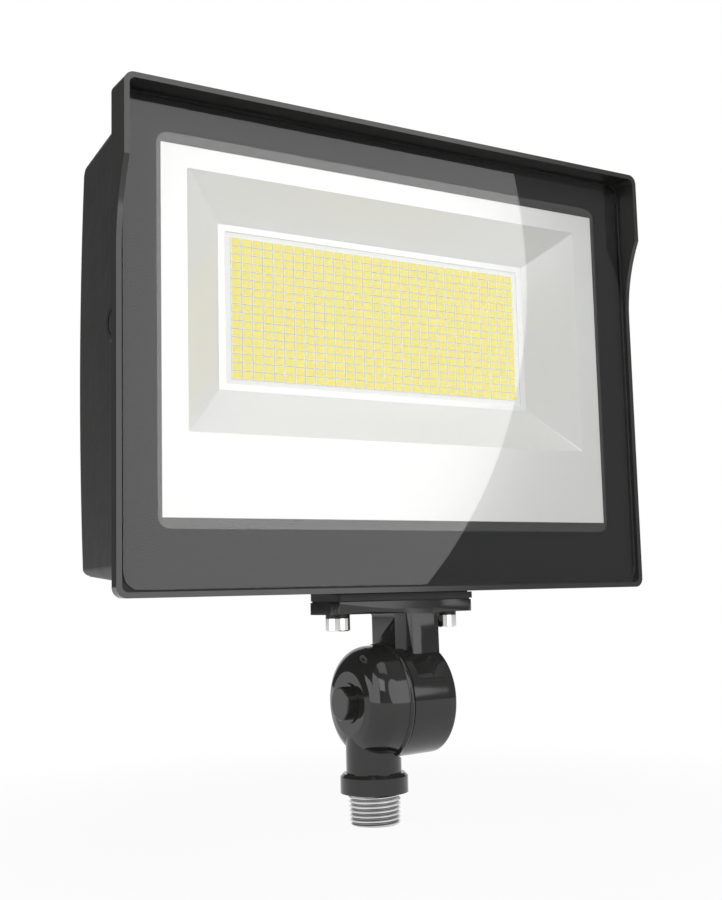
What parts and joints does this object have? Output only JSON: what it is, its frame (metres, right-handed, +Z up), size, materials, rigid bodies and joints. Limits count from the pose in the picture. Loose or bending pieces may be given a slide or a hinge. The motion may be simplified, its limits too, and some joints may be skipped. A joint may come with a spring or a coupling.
{
  "type": "led floodlight",
  "caption": "Hooded rectangular LED floodlight with a finned cast housing, enamel-bordered glass and a recessed light board, on a tilting two-piece knuckle with a threaded nipple.",
  "frame": {"origin": "on the axis of the threaded nipple, at the lower face of the knuckle's collar", "axes": "+Z up along the nipple, -Y the way the lamp shines, +X to the lamp's left hand as it shines, along the tilt axis"},
  "size_m": [0.25, 0.0745, 0.282],
  "materials": {
    "housing_coat": "die-cast aluminium under a satin dark bronze-grey powder coat",
    "frame_coat": "die-cast aluminium under a satin dark bronze-grey powder coat",
    "lens_glass": "clear tempered glass with a white enamel border",
    "seal_rubber": "matt black silicone",
    "reflector_white": "matt white",
    "board_mask": "white solder mask on aluminium",
    "thermal_sheet": "grey silicone sheet",
    "steel": "bright zinc-plated steel",
    "stainless": "bright stainless steel",
    "spring_steel": "dark phosphated spring steel",
    "plug_plastic": "matt black nylon",
    "connector_plastic": "off-white nylon",
    "driver_case": "plain aluminium case",
    "earth_green": "green-dyed zinc plate",
    "nipple_zinc": "bright bare zinc-plated steel"
  },
  "bodies": {
    "knuckle_base": {"lower_knuckle": "housing_coat", "threaded_nipple": "nipple_zinc", "knuckle_seal": "seal_rubber", "pivot_bolt": "stainless", "pivot_washer": "stainless", "pivot_nut": "stainless"},
    "lamp_head": {"front_frame": "frame_coat", "glass_lens": "lens_glass", "lens_gasket": "seal_rubber", "reflector": "reflector_white", "led_board": "board_mask", "thermal_pad": "thermal_sheet", "board_screws": "steel", "board_plug": "connector_plastic", "rear_housing": "housing_coat", "frame_gasket": "seal_rubber", "frame_screws": "stainless", "vent_plug": "plug_plastic", "vent_ring": "seal_rubber", "driver": "driver_case", "driver_screws": "steel", "terminal_block": "connector_plastic", "ground_screw": "earth_green", "wire_grommet": "seal_rubber", "flange_gasket": "seal_rubber", "upper_knuckle": "housing_coat", "flange_screws": "stainless", "flange_washers": "spring_steel"}
  },
  "joints": [
    {"name": "tilt", "type": "hinge", "parent": "knuckle_base", "child": "lamp_head", "pos_m": [0.0058, 0, 0.0356], "axis": [1, 0, 0], "range_deg": [-90, 90]}
  ]
}
